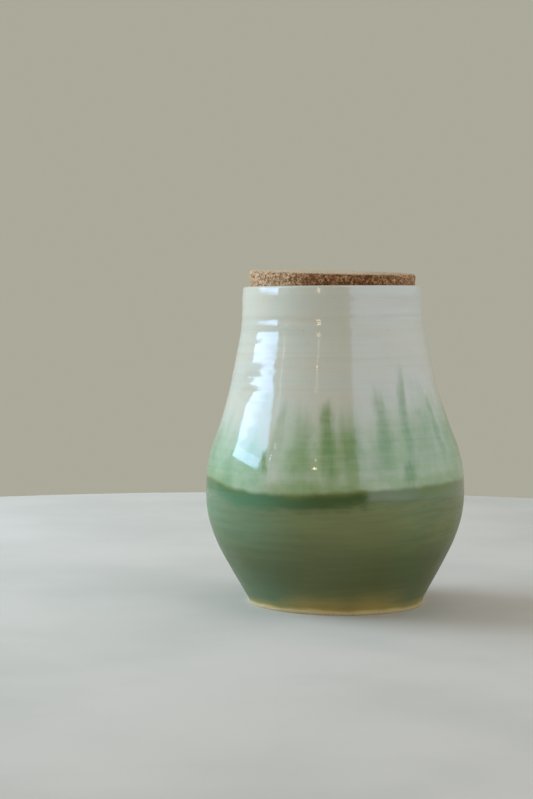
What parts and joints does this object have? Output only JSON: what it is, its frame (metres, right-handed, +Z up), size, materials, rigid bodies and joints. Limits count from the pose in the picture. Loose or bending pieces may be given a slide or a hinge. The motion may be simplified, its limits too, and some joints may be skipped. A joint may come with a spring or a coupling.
{
  "type": "corked jar",
  "caption": "Wheel-thrown stoneware jar with a round belly, a tapering neck and a tapered cork stopper that lifts out of its mouth.",
  "frame": {"origin": "middle of the jar's flat foot, on the surface that it stands on", "axes": "+Z is up from the foot towards the mouth, and -Y is the front, as pictured. The jar's own axis leans 1.35 degrees from +Z towards -X"},
  "size_m": [0.1243, 0.1244, 0.1599],
  "materials": {
    "glazed_stoneware": "gloss",
    "pressed_cork": "matte"
  },
  "bodies": {
    "jar": {"stoneware_jar": "glazed_stoneware"},
    "stopper": {"cork_stopper": "pressed_cork"}
  },
  "joints": [
    {"name": "stopper_lift", "type": "slide", "parent": "jar", "child": "stopper", "axis": [-0.0236, 0, 0.9997], "range_m": [0, 0.1]}
  ]
}
